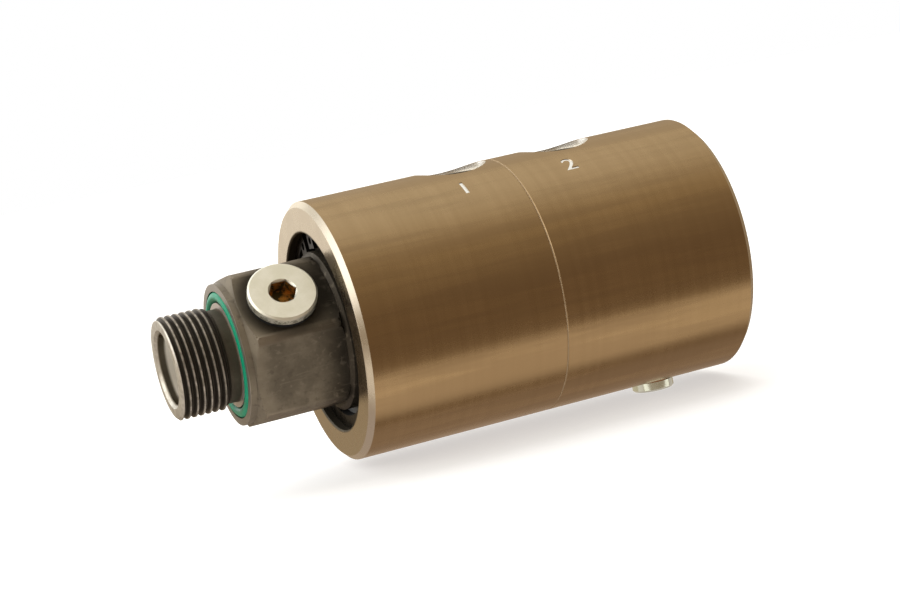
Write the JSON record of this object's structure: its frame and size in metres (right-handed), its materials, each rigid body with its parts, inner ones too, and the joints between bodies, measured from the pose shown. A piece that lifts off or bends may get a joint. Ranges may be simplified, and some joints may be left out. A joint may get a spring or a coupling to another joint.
{
  "type": "rotary union",
  "caption": "Two-passage rotary union: threaded hexagon rotor with face seal turning on ball bearings in a burnished steel cylinder with side hose ports",
  "frame": {"origin": "centre of the rotor's sealing shoulder, on the rotor axis", "axes": "+X runs along the rotor axis towards the rear cover, +Z is the direction of the hose ports, +Y completes the right-handed frame"},
  "size_m": [0.187, 0.085, 0.0878],
  "materials": {
    "burnished_steel": "fine turned steel, burnished brown",
    "phosphated_steel": "dark phosphated steel with lighter machined edges",
    "green_rubber": "smooth moulded rubber with a soft sheen",
    "zinc_plate": "zinc plated, faintly yellow",
    "black_rubber": "smooth black rubber",
    "spring_steel": "blackened spring steel",
    "spring_wire": "drawn wire",
    "bearing_steel": "ground and polished",
    "cage_brass": "machined brass",
    "seal_plastic": "bronze-filled seal material",
    "plain_steel": "turned steel",
    "soft_copper": "soft copper"
  },
  "bodies": {
    "rotor": {"rotor": "phosphated_steel", "face_o_ring": "green_rubber", "rotor_plug": "zinc_plate", "rotor_plug_seal": "black_rubber", "gallery_plug": "plain_steel", "leak_gallery_plug": "plain_steel", "front_bearing_inner_ring": "bearing_steel", "rear_bearing_inner_ring": "bearing_steel", "shaft_circlip": "spring_steel"},
    "housing": {"housing": "burnished_steel", "front_circlip": "spring_steel", "front_shaft_seal": "black_rubber", "seal_garter_spring": "spring_wire", "front_bearing_outer_ring": "bearing_steel", "rear_bearing_outer_ring": "bearing_steel", "pressure_seal_1": "seal_plastic", "pressure_seal_2": "seal_plastic", "pressure_seal_3": "seal_plastic", "seal_energiser_1": "black_rubber", "seal_energiser_2": "black_rubber", "seal_energiser_3": "black_rubber", "leak_plug": "zinc_plate", "leak_plug_seal": "soft_copper", "rear_cover": "plain_steel", "rear_cover_o_ring": "black_rubber", "rear_circlip": "spring_steel"},
    "front_ball_set": {"front_bearing_balls": "bearing_steel", "front_bearing_cage": "cage_brass"},
    "rear_ball_set": {"rear_bearing_balls": "bearing_steel", "rear_bearing_cage": "cage_brass"}
  },
  "joints": [
    {"name": "housing_spin", "type": "hinge", "parent": "rotor", "child": "housing", "pos_m": [0.0995, 0, 0], "axis": [1, 0, 0], "continuous": true},
    {"name": "front_balls_orbit", "type": "hinge", "parent": "rotor", "child": "front_ball_set", "pos_m": [0.048, 0, 0], "axis": [1, 0, 0], "continuous": true},
    {"name": "rear_balls_orbit", "type": "hinge", "parent": "rotor", "child": "rear_ball_set", "pos_m": [0.1495, 0, 0], "axis": [1, 0, 0], "continuous": true}
  ],
  "couplings": [
    {"joint": "front_balls_orbit", "follows": "housing_spin", "ratio": 0.5348},
    {"joint": "rear_balls_orbit", "follows": "housing_spin", "ratio": 0.5348}
  ]
}
